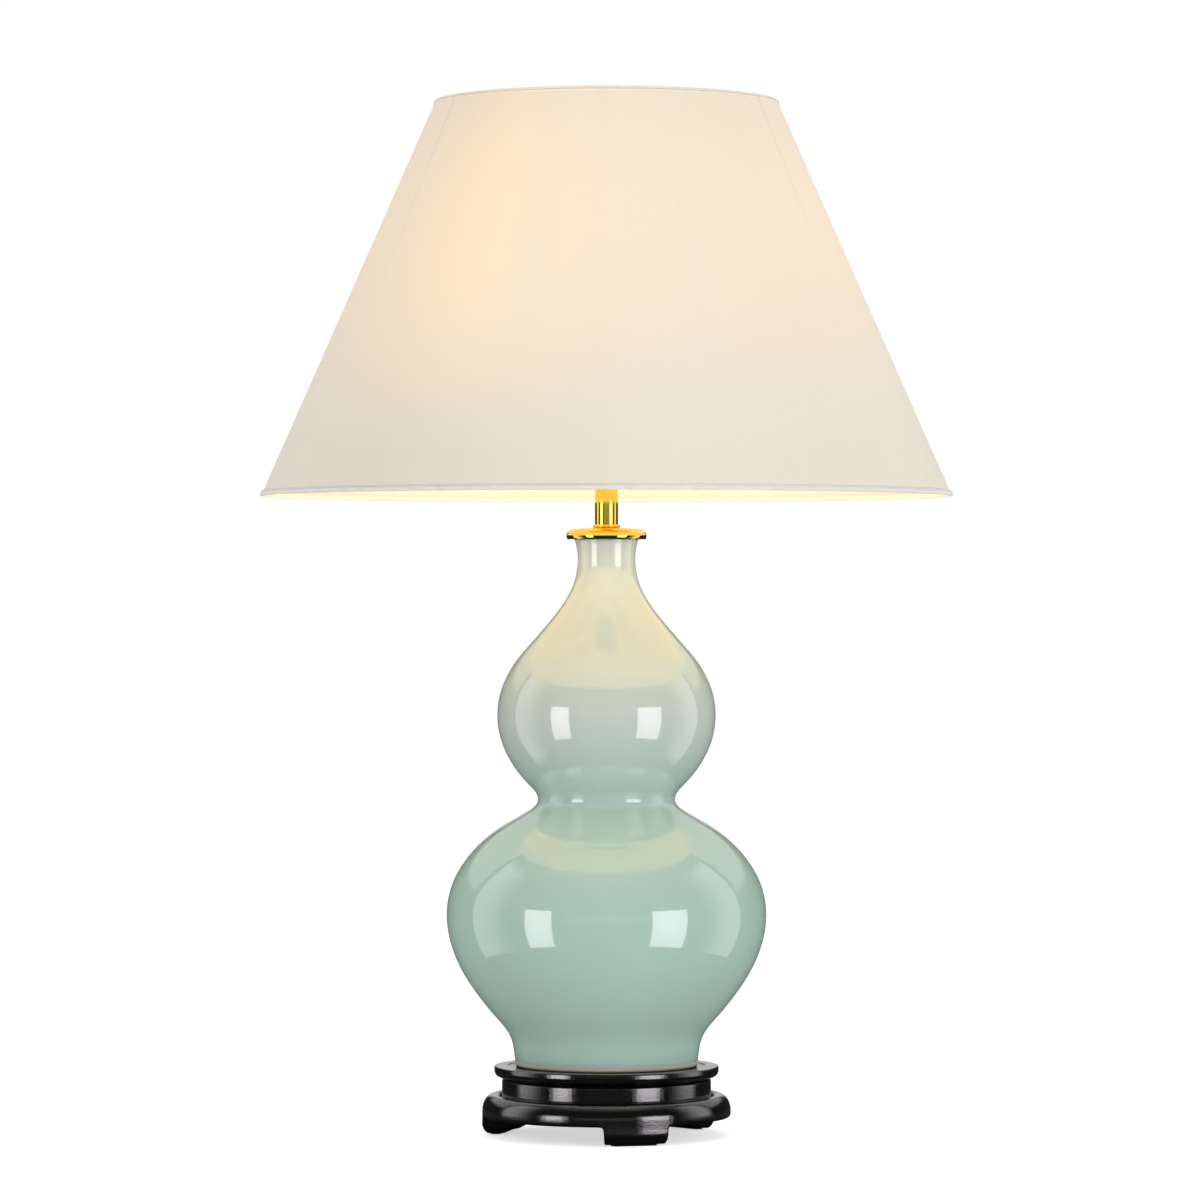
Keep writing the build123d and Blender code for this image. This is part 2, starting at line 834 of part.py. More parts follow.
def bulb_screw():
    """The bulb's metal screw base."""
    top = bulb_thread_bottom + bulb_thread_height
    wall = bulb_shell_wall
    bore = bulb_neck_radius + bulb_cement_gap
    outline = Polyline(
        (bulb_insulator_radius, bulb_thread_bottom),
        (bulb_thread_radius - bulb_shell_round, bulb_thread_bottom),
        (bulb_thread_radius, bulb_thread_bottom + bulb_shell_round),
        (bulb_thread_radius, glass_bottom - wall),
        (bulb_neck_radius + wall, glass_bottom),
        (bulb_neck_radius + wall, top),
        (bore, top),
        (bore, glass_bottom - 2 * bulb_cement_gap),
        (bulb_thread_radius - wall, glass_bottom - bulb_shell_round),
        (bulb_thread_radius - wall, bulb_thread_bottom + wall),
        (bulb_insulator_radius, bulb_thread_bottom + wall),
        close=True,
    )
    return turned(outline)


def bulb_insulator():
    """The black glass button between screw base and tip."""
    low = bulb_bottom + bulb_tip_height
    outline = Polyline(
        (0, low),
        (bulb_tip_radius + bulb_tip_flare + bulb_insulator_margin, low),
        (bulb_insulator_radius, bulb_thread_bottom),
        (bulb_insulator_radius, bulb_thread_bottom + bulb_shell_wall),
        (0, bulb_thread_bottom + bulb_shell_wall),
        close=True,
    )
    return turned(outline)


def bulb_tip():
    """The solder contact at the bulb's end."""
    top = bulb_bottom + bulb_tip_height
    outline = Polyline(
        (0, bulb_bottom),
        (bulb_tip_radius, bulb_bottom),
        (bulb_tip_radius + bulb_tip_flare, top),
        (0, top),
        close=True,
    )
    return turned(outline)


def bulb_filament():
    """The glass mount with its two leads and the filament between them."""
    base = bulb_thread_bottom + bulb_shell_wall
    level = bulb_bottom + filament_level
    mount = turned(
        Polyline(
            (0, base),
            (stem_glass_radius, base),
            (stem_glass_top_radius, base + stem_glass_height),
            (0, base + stem_glass_height),
            close=True,
        )
    )
    lead_foot = Vector(0, 0, base + stem_glass_height - stem_glass_grip)
    top = Vector(0, 0, level + filament_rise)
    lead = RegularPolygon(filament_lead_radius, filament_sides)
    coil = RegularPolygon(filament_radius, filament_sides)
    for side in (-1, 1):
        end = Vector(side * filament_spread, 0, level)
        mount += rod(lead_foot, end, lead)
        mount += rod(end, top, coil)
    return mount


pieces = [
    foot_pads, stand_apron, stand_collar, stand_tray, vase_seat_ring, vase, neck_plug,
    threaded_rod, base_washer, lock_washer, base_nut, cable_bushing,
    vase_cap, stem_collet, stem_tube, jam_nut,
    holder_cap, holder_skirt, holder_core, screw_socket, centre_contact, terminal_screws,
    switch_block, switch_bar, shade_ring_lower, shade_ring_upper,
    shade_fabric, shade_liner, bottom_hem, top_hem, bottom_wire_hoop, top_wire_hoop,
    carrier_ring, arms,
    bulb_glass, bulb_screw, bulb_insulator, bulb_tip, bulb_filament,
]

os.makedirs("parts", exist_ok=True)
for piece in pieces:
    shape = piece()
    if isinstance(shape, list):
        shape = Compound(children=[solid for copy in shape for solid in copy.solids()])
    export_step(shape, f"parts/{piece.__name__}.step")
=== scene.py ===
import json
from math import cos, hypot, pi, radians, sin

import bmesh
import bpy
import numpy as np
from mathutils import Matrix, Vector


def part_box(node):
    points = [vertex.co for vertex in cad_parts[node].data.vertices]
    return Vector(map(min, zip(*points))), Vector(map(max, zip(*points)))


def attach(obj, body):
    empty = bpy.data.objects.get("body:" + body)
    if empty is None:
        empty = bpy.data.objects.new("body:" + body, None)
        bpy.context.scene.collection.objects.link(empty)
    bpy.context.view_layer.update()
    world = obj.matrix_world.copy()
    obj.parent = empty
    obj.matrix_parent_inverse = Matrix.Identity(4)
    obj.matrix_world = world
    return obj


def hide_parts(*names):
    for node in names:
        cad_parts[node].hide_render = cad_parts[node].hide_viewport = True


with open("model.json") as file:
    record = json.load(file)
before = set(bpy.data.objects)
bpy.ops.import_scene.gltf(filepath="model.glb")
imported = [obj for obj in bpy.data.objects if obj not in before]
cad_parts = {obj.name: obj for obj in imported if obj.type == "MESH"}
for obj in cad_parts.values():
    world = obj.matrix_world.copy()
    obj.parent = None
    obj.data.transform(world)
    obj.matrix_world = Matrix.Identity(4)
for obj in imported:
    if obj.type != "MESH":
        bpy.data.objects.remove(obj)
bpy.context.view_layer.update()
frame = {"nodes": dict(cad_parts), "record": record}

# The looks of the lamp, over the CAD frame. Metres. +Z is up, the camera looks along +Y.

MM = 0.001
NODES = frame["nodes"]

# ---- Mesh fineness: counts round a turn or along a line, steps in metres, angles in degrees
brass_turns = 192
wide_turns = 256
thread_turns = 72
bulb_turns = 64
sheet_rows = 96
seam_rows, seam_columns = 60, 6
bead_points = 24
outline_step = 1.5 * MM
outline_softness = 2.5 * MM
bulb_outline_step = 1.0 * MM
bulb_outline_softness = 1.5 * MM
brass_step = 0.25 * MM
tube_step = 4 * MM
thread_rows = 8
card_sides = 96
weld_distance = 0.01 * MM
flat_angle = 0.5
sharp_angle, brass_sharp_angle, thread_sharp_angle = 35, 40, 50
carved_voxel = 0.7 * MM
turned_voxel = 0.55 * MM
ease_factor, ease_rounds = 0.5, 3
facing_out = 0.02  # the least outward part of a normal that counts as facing out

# ---- Finishes: where the glaze pales above the vase's foot, thins below its mouth and ends at its
# foot, where the lacquer turns brown in a band at the collar's foot, and the depths of the reliefs
pale_from, pale_to = 150 * MM, 240 * MM
thin_reach = 70 * MM
bare_to, glazed_from = 2.6 * MM, 3.6 * MM
brown_band_from, brown_band_to, brown_band_edge = -0.4 * MM, 1.2 * MM, 0.5 * MM
glaze_ior, lacquer_ior = 1.75, 2.0
glaze_relief, lacquer_relief, brass_relief = 0.02 * MM, 0.06 * MM, 0.004 * MM
linen_relief, hem_relief = 0.10 * MM, 0.12 * MM
threads_per_metre = 1900.0

# ---- Sizes that the frame doesn't hold
foot_edge_height = 2 * MM
foot_ring_width = 9.0 * MM
foot_recess = 6 * MM
foot_chamfer = 1.2 * MM
mouth_lip = 5.0 * MM
brass_bore = 5.3 * MM
bulb_crown_radius = 0.0005 * MM
shell_wall = 2.0 * MM
thread_depth = 0.5 * MM
thread_clear_below = 2 * MM
thread_clear_above = 1.5 * MM
holder_thread_pitch = 2.5 * MM
bulb_thread_pitch = 3.6 * MM
hem_bead_radius = 1.75 * MM
top_bead_radius = 1.3 * MM
hem_tail = 8.0 * MM
hem_cloth = 0.35 * MM
hem_fillet = 1.2 * MM
seam_width = 9.0 * MM
seam_height = 0.35 * MM
card_radius = 320 * MM
card_height = 0.3 * MM
floor_half_width = 12.0

# ---- The bulb's light through the shade, painted on the cloth as a glow with painted shadows.
# Turns are degrees from the front towards +X, and shares and reaches are shares of the
# shade's height.
spot_turn, spot_width, spot_share, spot_reach = -30, 40, 0.66, 0.62
wide_share, wide_reach = 0.72, 0.75
# painted shadows of the frame's two front arms on the glow
arm_shadow_turns, arm_shadow_width, arm_shadow_darkness = (-60, 60), 0.9, 0.55
# two faint painted shadow bands that dim the glow
shadow_band_turns, shadow_band_width, shadow_band_share, shadow_band_reach, shadow_band_dimness = (-17, 20), 8, 0.62, 0.5, 0.22
bounce_low, bounce_high = 0.35, 0.85

# ---- Lights, in watts and metres, and the camera
key_size, fill_size = (1.0, 1.3), (1.3, 1.3)
key_right, key_right_power = (1.8, -2.0, 0.5), 24.5
key_left, key_left_power = (-1.8, -1.9, 0.5), 15.5
fill_right, fill_left, fill_power = (2.2, 1.5, 0.9), (-2.2, 1.5, 0.9), 9
light_target = (0, 0, 0.35)
bulb_power = 0.7
bulb_light_radius = 26 * MM
bulb_light_drop = 30 * MM
camera_lens, camera_sensor = 165, 36
camera_place = (-4.5 * MM, -3.815, 0.3711)

# ---- The studio as it is mirrored, in degrees: turns from the front towards +X, rises over the
# horizon. A softbox is given by its first, last and brightest turn.
softboxes = ((33, 60, 46), (-61, -40, -50))
softbox_rises, softbox_edge = (-27.5, 11.2), 0.5
softbox_strength, softbox_rim, softbox_core = 4.0, 0.85, 0.3
softbox_core_width, softbox_core_height = 24, 40
panel_turns, panel_edge, panel_strength = (70, 100), (111.2, 112.8), 1.2
panel_rises, panel_rise_edge = (-40, 45), 4
behind_turns, raised_turns, raised_rises, behind_strength = (168, 174), (115, 119), (14, 20), 0.7
above_rises, above_share, above_strength = (35, 70), 0.45, 0.9
front_turns, front_rises, front_edge, front_strength = (26, 34), (-0.5, 4.5), 1.0, 0.36
mirrored_base = 0.03
soft_level = 0.57
floor_glow = 0.60

# ---- Colours, linear
celadon = (0.430, 0.612, 0.545)
celadon_pale = (0.515, 0.615, 0.575)
celadon_thin = (0.60, 0.69, 0.65)
celadon_dark_share, celadon_light_share = 0.975, 1.02
bare_clay = (0.66, 0.60, 0.50)
lacquer = (0.0022, 0.0024, 0.0025)
# brown for a band round the collar's foot
collar_foot_brown = (0.05, 0.018, 0.009)
brass = (0.86, 0.61, 0.10)
brass_worn = (0.80, 0.53, 0.07)
linen = (0.81, 0.765, 0.68)
lamp_light = (1.0, 0.62, 0.28)
# painted light: the bulb's light bounced inside the shade and its hems
lit_low = (0.66, 0.42, 0.14)
lit_high = (0.05, 0.03, 0.01)
lit_hem = (0.46, 0.36, 0.22)
hem_dark, hem_light = (0.74, 0.71, 0.67), (0.82, 0.79, 0.74)
# painted light: the shade's glow from outside, wide and in a warm spot
glow_edge = (0.05, 0.04, 0.02)
glow_wide = (0.22, 0.11, 0.01)
glow_spot = (0.33, 0.175, 0.0)
# the colour that the painted shadow bands dim the glow towards
shadow_band_colour = (0.05, 0.05, 0.05)
# the painted arm shadows darken the glow towards this
unlit = (0.0, 0.0, 0.0)
bulb_lit = (1.0, 0.72, 0.42, 1)
white = (1.0, 1.0, 1.0)
floor_white = (0.88, 0.88, 0.88)
card_black = (0.02, 0.02, 0.02)
mirrored_tint = (1.0, 0.94, 0.99)


# ---- Shader helpers
def new_material(name, base, roughness, **sockets):
    """A material with one Principled shader; returns it with its tree and shader."""
    material = bpy.data.materials.new(name)
    material.use_nodes = True
    tree = material.node_tree
    shader = tree.nodes["Principled BSDF"]
    shader.inputs["Base Color"].default_value = (*base, 1)
    shader.inputs["Roughness"].default_value = roughness
    for socket, value in sockets.items():
        label = socket.replace("_", " ").title().replace("Ior", "IOR")
        shader.inputs[label].default_value = value
    return material, tree, shader


def calc(tree, operation, *values):
    """A math node's output; each value is a number or a socket."""
    node = tree.nodes.new("ShaderNodeMath")
    node.operation = operation
    for socket, value in zip(node.inputs, values):
        if isinstance(value, (int, float)):
            socket.default_value = value
        else:
            tree.links.new(value, socket)
    return node.outputs[0]


def ramp(tree, value, low, high, start=0.0, end=1.0):
    """A smooth step from start to end as value goes from low to high."""
    node = tree.nodes.new("ShaderNodeMapRange")
    node.interpolation_type = "SMOOTHSTEP"
    tree.links.new(value, node.inputs["Value"])
    node.inputs["From Min"].default_value = low
    node.inputs["From Max"].default_value = high
    node.inputs["To Min"].default_value = start
    node.inputs["To Max"].default_value = end
    return node.outputs["Result"]


def window(tree, value, low, high, soft):
    """1 between low and high, 0 outside, with soft edges."""
    return calc(tree, "MULTIPLY", ramp(tree, value, low - soft, low + soft),
                ramp(tree, value, high - soft, high + soft, 1.0, 0.0))


def mixed(tree, factor, first, second):
    """A colour mixed by a factor; first and second are colours or sockets."""
    node = tree.nodes.new("ShaderNodeMix")
    node.data_type = "RGBA"
    tree.links.new(factor, node.inputs["Factor"])
    # inputs 6 and 7 and output 2 hold the colours: each data type repeats the names A, B and Result
    for socket, colour in ((node.inputs[6], first), (node.inputs[7], second)):
        if isinstance(colour, tuple):
            socket.default_value = (*colour, 1)
        else:
            tree.links.new(colour, socket)
    return node.outputs[2]


def either(tree, choice, chosen, other):
    """The first value where choice is 1 and the other where it is 0."""
    return calc(tree, "ADD", calc(tree, "MULTIPLY", choice, chosen),
                calc(tree, "MULTIPLY", calc(tree, "SUBTRACT", 1.0, choice), other))


def scaled(colour, share):
    """The colour made darker or lighter by a share."""
    return tuple(share * part for part in colour)


def place(tree):
    """The shaded point in its object's own coordinates, which are the frame's at rest."""
    return tree.nodes.new("ShaderNodeTexCoord").outputs["Object"]


def split(tree, vector):
    """The X, Y and Z of a vector."""
    parts = tree.nodes.new("ShaderNodeSeparateXYZ")
    tree.links.new(vector, parts.inputs[0])
    return tuple(parts.outputs)


def noise(tree, vector, scale, detail=2.0, stretch=(1, 1, 1)):
    """Noise with features of about 1/scale metres, finer along an axis stretched by more than 1."""
    mapping = tree.nodes.new("ShaderNodeMapping")
    mapping.inputs["Scale"].default_value = stretch
    tree.links.new(vector, mapping.inputs["Vector"])
    node = tree.nodes.new("ShaderNodeTexNoise")
    node.inputs["Scale"].default_value = scale
    node.inputs["Detail"].default_value = detail
    tree.links.new(mapping.outputs[0], node.inputs["Vector"])
    return node.outputs["Fac"]


def bumped(tree, shader, height, distance, strength=1.0):
    """Surface relief on the shader, distance metres deep where height is 1."""
    node = tree.nodes.new("ShaderNodeBump")
    node.inputs["Strength"].default_value = strength
    node.inputs["Distance"].default_value = distance
    tree.links.new(height, node.inputs["Height"])
    tree.links.new(node.outputs[0], shader.inputs["Normal"])


def bell(tree, value, centre, width):
    """1 at the centre, falling off smoothly to nothing a width away."""
    distance = calc(tree, "ABSOLUTE", calc(tree, "SUBTRACT", value, centre))
    return ramp(tree, distance, 0.0, width, 1.0, 0.0)


def heading(tree, x, y):
    """The direction from the lamp's axis, in degrees from the front towards +X."""
    ahead = calc(tree, "MULTIPLY", y, -1.0)
    return calc(tree, "DEGREES", calc(tree, "ARCTAN2", x, ahead))


# ---- Materials
def glaze():
    """Celadon glaze: paler on the upper gourd, thin at the neck, bare at the foot's edge."""
    material, tree, shader = new_material("celadon_glaze", celadon, 0.06, IOR=glaze_ior)
    point = place(tree)
    z = split(tree, point)[2]
    low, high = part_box("vase")
    clouds = noise(tree, point, 9.0, 3.0)
    speckle = noise(tree, point, 900.0, 2.0)
    dark, light = scaled(celadon, celadon_dark_share), scaled(celadon, celadon_light_share)
    tone = mixed(tree, ramp(tree, clouds, 0.35, 0.65), dark, light)
    tone = mixed(tree, ramp(tree, z, low.z + pale_from, low.z + pale_to), tone, celadon_pale)
    tone = mixed(tree, ramp(tree, z, high.z - thin_reach, high.z), tone, celadon_thin)
    foot = ramp(tree, z, low.z + bare_to, low.z + glazed_from, 1.0, 0.0)
    edge = calc(tree, "MULTIPLY", foot, ramp(tree, speckle, 0.2, 0.45))
    tree.links.new(mixed(tree, edge, tone, bare_clay), shader.inputs["Base Color"])
    tree.links.new(ramp(tree, foot, 0.0, 1.0, 0.05, 0.6), shader.inputs["Roughness"])
    bumped(tree, shader, noise(tree, point, 60.0, 1.0), glaze_relief, 0.3)
    return material


def lacquered():
    """Black lacquer over wood: orange peel, faint grain, a brown band at the collar's foot."""
    material, tree, shader = new_material("black_lacquer", lacquer, 0.10, IOR=lacquer_ior)
    point = place(tree)
    z = split(tree, point)[2]
    peel = noise(tree, point, 1100.0, 2.0)
    grain = noise(tree, point, 60.0, 4.0, (1, 9, 9))
    relief = calc(tree, "ADD", peel, calc(tree, "MULTIPLY", grain, 0.4))
    bumped(tree, shader, relief, lacquer_relief)
    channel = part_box("stand_collar")[0].z
    # a brown band round the collar's foot
    band = window(tree, z, channel + brown_band_from, channel + brown_band_to, brown_band_edge)
    brown_band_mask = calc(tree, "MULTIPLY", band, ramp(tree, noise(tree, point, 30.0, 3.0), 0.56, 0.72))
    tree.links.new(mixed(tree, brown_band_mask, lacquer, collar_foot_brown), shader.inputs["Base Color"])
    haze = ramp(tree, noise(tree, point, 160.0, 3.0), 0.3, 0.7, 0.07, 0.14)
    tree.links.new(haze, shader.inputs["Roughness"])
    return material


def brassy(name="polished_brass", roughness=0.06):
    """Polished brass with fine lines drawn along the axis."""
    material, tree, shader = new_material(name, brass, roughness, metallic=1.0)
    point = place(tree)
    lines = noise(tree, point, 1600.0, 2.0, (1, 1, 0.01))
    bumped(tree, shader, lines, brass_relief, 0.6)
    smudge = noise(tree, point, 70.0, 3.0)
    tree.links.new(mixed(tree, ramp(tree, smudge, 0.35, 0.75), brass, brass_worn),
                   shader.inputs["Base Color"])
    tree.links.new(ramp(tree, smudge, 0.3, 0.8, roughness * 0.8, roughness * 1.4),
                   shader.inputs["Roughness"])
    return material


def weave(tree):
    """Linen threads over the cloth's flat layout: the slubs of weft and warp, and the relief."""
    layout = tree.nodes.new("ShaderNodeUVMap").outputs[0]
    across, along = split(tree, layout)[:2]
    warp = calc(tree, "SINE", calc(tree, "MULTIPLY", across, threads_per_metre * 2 * pi))
    weft = calc(tree, "SINE", calc(tree, "MULTIPLY", along, threads_per_metre * 2 * pi))
    weft_slub = noise(tree, layout, 900.0, 2.0, (0.12, 1, 1))
    warp_slub = noise(tree, layout, 900.0, 2.0, (1, 0.12, 1))
    relief = calc(tree, "ADD", calc(tree, "MULTIPLY", calc(tree, "ADD", warp, weft), 0.15),
                  calc(tree, "ADD", weft_slub, warp_slub))
    return weft_slub, warp_slub, relief


def facing_in(tree, x, y):
    """1 where the side seen faces the lamp's axis, 0 where it faces outwards."""
    outward = tree.nodes.new("ShaderNodeCombineXYZ")
    tree.links.new(x, outward.inputs[0])
    tree.links.new(y, outward.inputs[1])
    surface = tree.nodes.new("ShaderNodeTexCoord")
    product = tree.nodes.new("ShaderNodeVectorMath")
    product.operation = "DOT_PRODUCT"
    tree.links.new(outward.outputs[0], product.inputs[0])
    tree.links.new(surface.outputs["Normal"], product.inputs[1])
    return calc(tree, "LESS_THAN", product.outputs["Value"], 0.0)


def shade_share(tree, z):
    """Height on the shade, 0 at the bottom hem and 1 at the top."""
    low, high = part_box("shade_fabric")
    return calc(tree, "DIVIDE", calc(tree, "SUBTRACT", z, low.z), high.z - low.z)


def glow(tree, x, y, z):
    """The painted glow of the bulb's light through the cloth, from outside.

    A wide light, a warm spot, painted shadows of two arms and two faint painted shadow bands.
    """
    share = shade_share(tree, z)
    turn = heading(tree, x, y)
    spot = calc(tree, "MULTIPLY", bell(tree, turn, spot_turn, spot_width),
                bell(tree, share, spot_share, spot_reach))
    light = mixed(tree, bell(tree, share, wide_share, wide_reach), glow_edge, glow_wide)
    light = mixed(tree, spot, light, glow_spot)
    # painted shadows of two arms, darker up the cloth
    for arm in arm_shadow_turns:
        arm_shadow = calc(tree, "MULTIPLY", bell(tree, turn, arm, arm_shadow_width),
                    ramp(tree, share, 0.3, 1.0, 0.0, arm_shadow_darkness))
        light = mixed(tree, arm_shadow, light, unlit)
    # two faint painted shadow bands, upright on the cloth
    for shadow_turn in shadow_band_turns:
        band = calc(tree, "MULTIPLY", bell(tree, turn, shadow_turn, shadow_band_width),
                    bell(tree, share, shadow_band_share, shadow_band_reach))
        light = mixed(tree, calc(tree, "MULTIPLY", band, shadow_band_dimness), light, shadow_band_colour)
    return light


def cloth_material(name, depth, strength):
    """A linen with its threads in relief; returns what its colour and light build on."""
    material, tree, shader = new_material(name, linen, 0.9, sheen_weight=0.15)
    weft_slub, warp_slub, relief = weave(tree)
    bumped(tree, shader, relief, depth, strength)
    return material, tree, shader, weft_slub, warp_slub


def give_light(tree, shader, inside):
    """Painted light given off by a lit cloth: the glow outside, and the bulb's bounced light
    inside.

    inside(z) gives the colour inside at a height.
    """
    x, y, z = split(tree, place(tree))
    light = mixed(tree, facing_in(tree, x, y), glow(tree, x, y, z), inside(z))
    tree.links.new(light, shader.inputs["Emission Color"])
    shader.inputs["Emission Strength"].default_value = 1.0


def linen_cloth():
    """White linen lit from inside: threads, slubs and a warm painted glow."""
    material, tree, shader, weft_slub, warp_slub = cloth_material("linen", linen_relief, 0.5)
    thread = calc(tree, "ADD", calc(tree, "MULTIPLY", weft_slub, 0.5),
                  calc(tree, "MULTIPLY", warp_slub, 0.5))
    tree.links.new(mixed(tree, ramp(tree, thread, 0.3, 0.7), scaled(linen, 0.97), linen),
                   shader.inputs["Base Color"])

    def bounce(z):
        rise = ramp(tree, shade_share(tree, z), bounce_low, bounce_high)
        return mixed(tree, rise, lit_low, lit_high)

    give_light(tree, shader, bounce)
    return material


def hem_linen():
    """The rolled hems and the seam: the same linen, whiter where it lies double."""
    material, tree, shader, weft_slub, warp_slub = cloth_material("linen_hem", hem_relief, 0.6)
    tree.links.new(mixed(tree, ramp(tree, weft_slub, 0.3, 0.7), hem_dark, hem_light),
                   shader.inputs["Base Color"])
    give_light(tree, shader, lambda z: lit_hem)
    return material


def plain(name, base, roughness, grain=300.0, depth=0.03 * MM, **sockets):
    """A moulded, painted or plated surface with a fine grain and a little unevenness of gloss."""
    material, tree, shader = new_material(name, base, roughness, **sockets)
    point = place(tree)
    fine = noise(tree, point, grain, 2.0)
    bumped(tree, shader, fine, depth, 0.5)
    patches = noise(tree, point, 60.0, 2.0)
    tree.links.new(mixed(tree, ramp(tree, patches, 0.3, 0.7), scaled(base, 0.93), base),
                   shader.inputs["Base Color"])
    tree.links.new(ramp(tree, fine, 0.3, 0.7, roughness * 0.85, min(1.0, roughness * 1.15)),
                   shader.inputs["Roughness"])
    return material


def make_materials():
    """Every finish of the lamp, by slot."""
    return {
        "celadon_glaze": glaze(),
        "black_lacquer": lacquered(),
        "polished_brass": brassy(),
        "contact_brass": brassy("contact_brass", 0.3),
        "linen": linen_cloth(),
        "linen_hem": hem_linen(),
        "shade_liner": plain("shade_liner", (0.85, 0.82, 0.76), 0.5),
        "pad_rubber": plain("pad_rubber", (0.012, 0.012, 0.012), 0.7),
        "seat_rubber": plain("seat_rubber", (0.02, 0.018, 0.016), 0.8, 500.0, 0.2 * MM),
        "plain_wood": plain("plain_wood", (0.35, 0.22, 0.12), 0.6),
        "zinc_steel": plain("zinc_steel", (0.55, 0.55, 0.56), 0.35, metallic=1.0),
        "black_plastic": plain("black_plastic", (0.01, 0.01, 0.01), 0.4),
        "white_porcelain": plain("white_porcelain", (0.78, 0.76, 0.72), 0.25),
        "frame_white": plain("frame_white", (0.75, 0.74, 0.71), 0.35),
        "bulb_metal": plain("bulb_metal", (0.7, 0.7, 0.72), 0.25, metallic=1.0),
        "bulb_black": plain("bulb_black", (0.01, 0.01, 0.012), 0.2),
        "bulb_mount": plain("bulb_mount", (0.7, 0.7, 0.68), 0.3),
        "bulb_glass": plain("bulb_glass", (0.9, 0.88, 0.84), 0.35, emission_strength=0.8,
                            emission_color=bulb_lit),
    }


# ---- Mesh helpers
def linked(name, data):
    """A new object in the scene."""
    thing = bpy.data.objects.new(name, data)
    bpy.context.scene.collection.objects.link(thing)
    return thing


def shade_smooth(mesh):
    """Smooth shading on every face."""
    mesh.polygons.foreach_set("use_smooth", [True] * len(mesh.polygons))


def add_object(name, mesh, slot, body, *replaced):
    """A new piece with its finish, riding on a body, standing for the CAD nodes named."""
    piece = linked(name, mesh)
    mesh.materials.clear()
    mesh.materials.append(FINISHES[slot])
    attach(piece, body)
    if replaced:
        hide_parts(*replaced)
    return piece


def lathe_mesh(name, outline, steps, closed=False, shift=None):
    """A mesh of an outline of (radius, height) turned about the axis, with a flat layout in metres.

    The faces point outwards where the outline goes up. shift(radius, height, turn) gives the radius
    at a share of a turn, for threads.
    """
    outline = list(outline)
    if closed:
        outline.append(outline[0])
    lengths = [0.0]
    for first, second in zip(outline, outline[1:]):
        lengths.append(lengths[-1] + hypot(second[0] - first[0], second[1] - first[1]))
    verts, faces, layout = [], [], []
    rings = len(outline) - (1 if closed else 0)
    for radius, height in outline[:rings]:
        for k in range(steps):
            angle = 2 * pi * k / steps
            r = shift(radius, height, k / steps) if shift else radius
            verts.append((r * sin(angle), -r * cos(angle), height))
    for row in range(len(outline) - 1):
        low, high = row * steps, ((row + 1) % rings) * steps
        for k in range(steps):
            after = (k + 1) % steps
            faces.append((low + k, low + after, high + after, high + k))
            for turn, station in ((k, row), (k + 1, row), (k + 1, row + 1), (k, row + 1)):
                layout.append((2 * pi * outline[station][0] * turn / steps, lengths[station]))
    mesh = bpy.data.meshes.new(name)
    mesh.from_pydata(verts, [], faces)
    uv = mesh.uv_layers.new(name="flat")
    uv.data.foreach_set("uv", [value for pair in layout for value in pair])
    shade_smooth(mesh)
    mesh.update()
    return mesh


def outer_outline(node):
    """The outward-facing outline of a turned node, as (radius, height) from bottom to top."""
    mesh = NODES[node].data
    widest = {}
    for polygon in mesh.polygons:
        centre = polygon.center
        outward = Vector((centre.x, centre.y, 0)).normalized()
        if polygon.normal.dot(outward) < facing_out:
            continue
        for index in polygon.vertices:
            corner = mesh.vertices[index].co
            level = round(corner.z, 5)
            widest[level] = max(widest.get(level, 0.0), hypot(corner.x, corner.y))
    return [(widest[level], level) for level in sorted(widest)]


def smoothed(outline, step=outline_step, softness=outline_softness):
    """An outline resampled at even steps, its arcs' facets smoothed away and its ends kept."""
    points = np.array(outline)
    lengths = np.r_[0, np.cumsum(np.hypot(*np.diff(points, axis=0).T))]
    count = int(lengths[-1] / step) + 1
    even = np.linspace(0, lengths[-1], count)
    samples = np.stack([np.interp(even, lengths, points[:, k]) for k in (0, 1)], axis=1)
    reach = int(3 * softness / step) + 1
    offsets = np.arange(-reach, reach + 1) * step
    weights = np.exp(-0.5 * (offsets / softness) ** 2)
    weights /= weights.sum()
    before = 2 * samples[0] - samples[reach:0:-1]
    after = 2 * samples[-1] - samples[-2:-reach - 2:-1]
    padded = np.concatenate([before, samples, after])
    soft = np.stack([np.convolve(padded[:, k], weights, "valid") for k in (0, 1)], axis=1)
    return [tuple(pair) for pair in soft]


def smooth_copy(name, node, slot, body):
    """A CAD node's own shape, welded, with smooth faces between its sharp edges."""
    mesh = NODES[node].data.copy()
    mesh.name = name
    build = bmesh.new()
    build.from_mesh(mesh)
    bmesh.ops.remove_doubles(build, verts=build.verts, dist=weld_distance)
    bmesh.ops.dissolve_limit(build, angle_limit=radians(flat_angle), verts=build.verts,
                             edges=build.edges)
    build.to_mesh(mesh)
    build.free()
    shade_smooth(mesh)
    mesh.set_sharp_from_angle(angle=radians(sharp_angle))
    add_object(name, mesh, slot, body, node)


# ---- Stand
def carve_stand():
    """The lacquered stand, with eased edges and fine enough for the lacquer's soft gloss."""
    for node, name in (("stand_apron", "stand_apron_carved"), ("stand_tray", "stand_tray_turned"),
                       ("stand_collar", "stand_collar_turned")):
        piece = add_object(name, NODES[node].data.copy(), "black_lacquer", "lamp_base", node)
        weld = piece.modifiers.new("weld", "WELD")
        weld.merge_threshold = weld_distance
        remesh = piece.modifiers.new("remesh", "REMESH")
        remesh.mode = "VOXEL"
        remesh.voxel_size = carved_voxel if node == "stand_apron" else turned_voxel
        remesh.use_smooth_shade = True
        ease = piece.modifiers.new("ease", "SMOOTH")
        ease.factor = ease_factor
        ease.iterations = ease_rounds
        bake_modifiers(piece)


def bake_modifiers(piece):
    """The piece's modifiers applied to its mesh."""
    bpy.context.view_layer.update()
    shown = piece.evaluated_get(bpy.context.evaluated_depsgraph_get())
    shaped = bpy.data.meshes.new_from_object(shown)
    shaped.name = piece.data.name
    piece.modifiers.clear()
    piece.data = shaped


